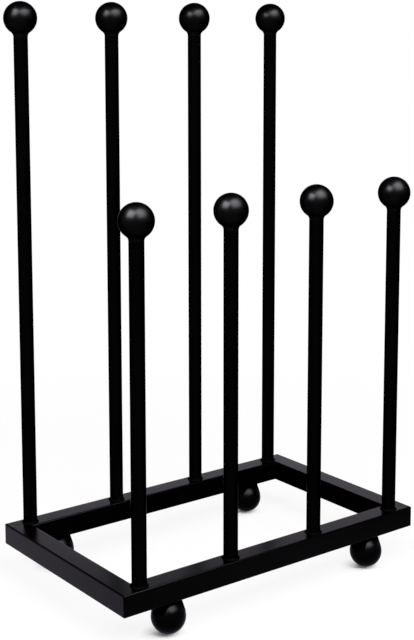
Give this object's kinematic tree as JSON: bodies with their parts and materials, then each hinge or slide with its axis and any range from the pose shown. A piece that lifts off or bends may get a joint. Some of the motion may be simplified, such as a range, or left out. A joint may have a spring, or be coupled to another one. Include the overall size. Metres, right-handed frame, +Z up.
{
  "type": "boot rack",
  "caption": "Free-standing steel boot rack: a mitred square-tube frame on ball feet carries a short front row and a tall rear row of round posts with ball finials.",
  "frame": {"origin": "on the floor below the middle of the rack", "axes": "+X along the rack to the right, +Y to its back where the tall posts stand, +Z up"},
  "size_m": [0.425, 0.2684, 0.6774],
  "materials": {
    "powder_coat": "satin black powder coat"
  },
  "bodies": {
    "root": {"front_rail": "powder_coat", "right_rail": "powder_coat", "rear_rail": "powder_coat", "left_rail": "powder_coat", "front_post_1": "powder_coat", "front_post_2": "powder_coat", "front_post_3": "powder_coat", "front_post_4": "powder_coat", "front_finial_1": "powder_coat", "front_finial_2": "powder_coat", "front_finial_3": "powder_coat", "front_finial_4": "powder_coat", "front_post_weld_1": "powder_coat", "front_post_weld_2": "powder_coat", "front_post_weld_3": "powder_coat", "front_post_weld_4": "powder_coat", "front_finial_weld_1": "powder_coat", "front_finial_weld_2": "powder_coat", "front_finial_weld_3": "powder_coat", "front_finial_weld_4": "powder_coat", "rear_post_1": "powder_coat", "rear_post_2": "powder_coat", "rear_post_3": "powder_coat", "rear_post_4": "powder_coat", "rear_finial_1": "powder_coat", "rear_finial_2": "powder_coat", "rear_finial_3": "powder_coat", "rear_finial_4": "powder_coat", "rear_post_weld_1": "powder_coat", "rear_post_weld_2": "powder_coat", "rear_post_weld_3": "powder_coat", "rear_post_weld_4": "powder_coat", "rear_finial_weld_1": "powder_coat", "rear_finial_weld_2": "powder_coat", "rear_finial_weld_3": "powder_coat", "rear_finial_weld_4": "powder_coat", "front_left_foot": "powder_coat", "front_right_foot": "powder_coat", "rear_left_foot": "powder_coat", "rear_right_foot": "powder_coat", "corner_welds": "powder_coat", "foot_welds": "powder_coat"}
  },
  "joints": []
}
